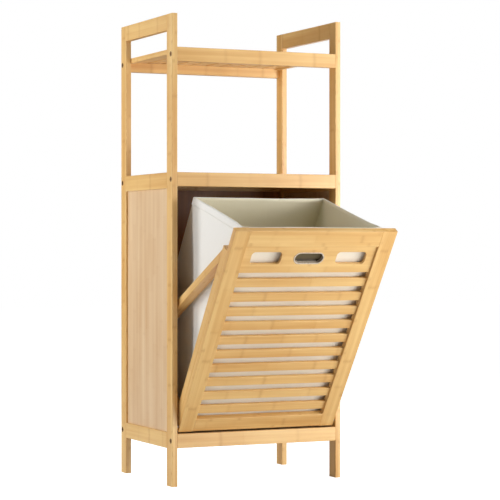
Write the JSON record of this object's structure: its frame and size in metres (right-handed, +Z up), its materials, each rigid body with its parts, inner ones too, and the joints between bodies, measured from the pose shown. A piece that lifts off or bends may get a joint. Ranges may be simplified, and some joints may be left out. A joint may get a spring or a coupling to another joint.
{
  "type": "laundry cabinet with tilt-out hamper",
  "caption": "Free-standing bamboo cabinet with open shelves above and a louvred door that tilts forward, carrying a cloth laundry bag.",
  "frame": {"origin": "on the floor, in the middle of the width, and midway between the open door's top edge and the cabinet's back face", "axes": "+Z up, +Y toward the back of the cabinet, +X toward the right seen from the front; the door tilts toward -Y"},
  "size_m": [0.44, 0.6426, 1.1],
  "materials": {
    "bamboo": "clear satin lacquer on laminated bamboo, strip grain along each piece with faint node marks",
    "bamboo_ply": "thin bamboo plywood, upright grain, satin",
    "bamboo_peg": "turned hardwood peg, bare",
    "bolt_steel": "bronzed machine screw",
    "pin_steel": "bright steel pin",
    "cup_chrome": "polished pressing",
    "bag_cloth": "off-white woven cotton and polyester, stiffened, hemmed rim"
  },
  "bodies": {
    "cabinet": {"back_panel": "bamboo_ply", "bottom_back_rail": "bamboo", "bottom_board": "bamboo_ply", "bottom_front_rail": "bamboo", "frame_bolts": "bolt_steel", "left_back_post": "bamboo", "left_bottom_side_rail": "bamboo", "left_front_post": "bamboo", "left_handle_rail": "bamboo", "left_shelf_side_rail": "bamboo", "left_side_panel": "bamboo_ply", "left_top_shelf_edge": "bamboo", "middle_shelf_back_rail": "bamboo", "middle_shelf_board": "bamboo", "middle_shelf_front_rail": "bamboo", "pivot_pins": "pin_steel", "right_back_post": "bamboo", "right_bottom_side_rail": "bamboo", "right_front_post": "bamboo", "right_handle_rail": "bamboo", "right_shelf_side_rail": "bamboo", "right_side_panel": "bamboo_ply", "right_top_shelf_edge": "bamboo", "top_shelf_back_rail": "bamboo", "top_shelf_front_rail": "bamboo", "top_shelf_slat_01": "bamboo", "top_shelf_slat_02": "bamboo", "top_shelf_slat_03": "bamboo", "top_shelf_slat_04": "bamboo", "top_shelf_slat_05": "bamboo", "top_shelf_slat_06": "bamboo", "top_shelf_slat_07": "bamboo", "top_shelf_slat_08": "bamboo", "top_shelf_slat_09": "bamboo", "top_shelf_slat_10": "bamboo"},
    "door": {"cradle_base": "bamboo", "door_bottom_rail": "bamboo", "door_slat_01": "bamboo", "door_slat_02": "bamboo", "door_slat_03": "bamboo", "door_slat_04": "bamboo", "door_slat_05": "bamboo", "door_slat_06": "bamboo", "door_slat_07": "bamboo", "door_slat_08": "bamboo", "door_slat_09": "bamboo", "door_slat_10": "bamboo", "door_top_rail": "bamboo", "finger_cup": "cup_chrome", "handle_panel": "bamboo", "laundry_bag": "bag_cloth", "left_cradle_arm": "bamboo", "left_cradle_upright": "bamboo", "left_diagonal_brace": "bamboo", "left_door_stile": "bamboo", "right_cradle_arm": "bamboo", "right_cradle_upright": "bamboo", "right_diagonal_brace": "bamboo", "right_door_stile": "bamboo", "stop_pegs": "bamboo_peg"}
  },
  "joints": [
    {"name": "door_tilt", "type": "hinge", "parent": "cabinet", "child": "door", "pos_m": [0, 0.00081, 0.139], "axis": [-1, 0, 0], "range_deg": [0, 34.7]}
  ]
}
